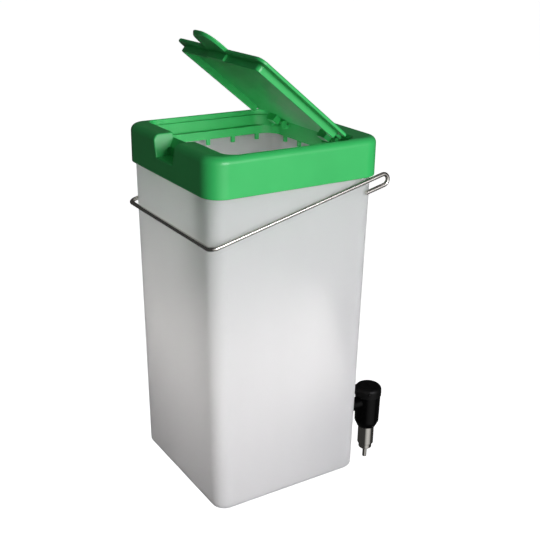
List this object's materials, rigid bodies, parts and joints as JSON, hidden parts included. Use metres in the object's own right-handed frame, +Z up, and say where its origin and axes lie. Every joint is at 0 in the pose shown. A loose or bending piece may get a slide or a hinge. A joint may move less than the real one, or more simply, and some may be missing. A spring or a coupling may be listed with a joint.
{
  "type": "hanging nipple drinker tank",
  "caption": "Small square water tank with a flip-lid cover, hung on a cage by a bent wire loop, feeding a spring-loaded nipple valve through a low elbow behind it.",
  "frame": {"origin": "centre of the tank's bottom face", "axes": "+Z up, -Y the cover's notched front, +Y the side of the cage and the elbow, +X to the right when seen from the front"},
  "size_m": [0.0844, 0.1301, 0.2432],
  "materials": {
    "tank_plastic": "translucent white, satin",
    "green_plastic": "moulded, semi-gloss",
    "hanger_steel": "drawn wire, bright",
    "black_plastic": "moulded, satin",
    "black_rubber": "moulded, matt",
    "nipple_steel": "turned stainless",
    "spring_steel": "drawn wire"
  },
  "bodies": {
    "hanger": {"hanger_wire": "hanger_steel"},
    "tank": {"tank": "tank_plastic", "outer_gasket": "black_rubber"},
    "cover": {"cover": "green_plastic"},
    "lid": {"flip_lid": "green_plastic"},
    "elbow": {"elbow_body": "black_plastic", "elbow_cap": "black_rubber", "lock_nut": "black_plastic", "nipple_body": "nipple_steel", "nipple_end_ring": "nipple_steel", "nipple_o_ring": "black_rubber", "valve_seal": "black_rubber", "nipple_spring": "spring_steel", "nipple_plug": "nipple_steel"},
    "pin": {"nipple_pin": "nipple_steel"}
  },
  "joints": [
    {"name": "tank_lift", "type": "slide", "parent": "hanger", "child": "tank", "axis": [0, 0, 1], "range_m": [0, 0.175]},
    {"name": "cover_lift", "type": "slide", "parent": "tank", "child": "cover", "axis": [0, 0, 1], "range_m": [0, 0.03]},
    {"name": "lid_hinge", "type": "hinge", "parent": "cover", "child": "lid", "pos_m": [0, 0.0284, 0.1672], "axis": [-1, 0, 0], "range_deg": [-39, 50]},
    {"name": "elbow_swivel", "type": "hinge", "parent": "tank", "child": "elbow", "pos_m": [0, 0.041, 0.0082], "axis": [0, 1, 0], "range_deg": [-90, 90]},
    {"name": "pin_push", "type": "slide", "parent": "elbow", "child": "pin", "axis": [0, 0, 1], "range_m": [0, 0.0015], "stiffness_N_per_m": 200, "springref_m": -0.001, "deforming": ["nipple_spring"]}
  ]
}
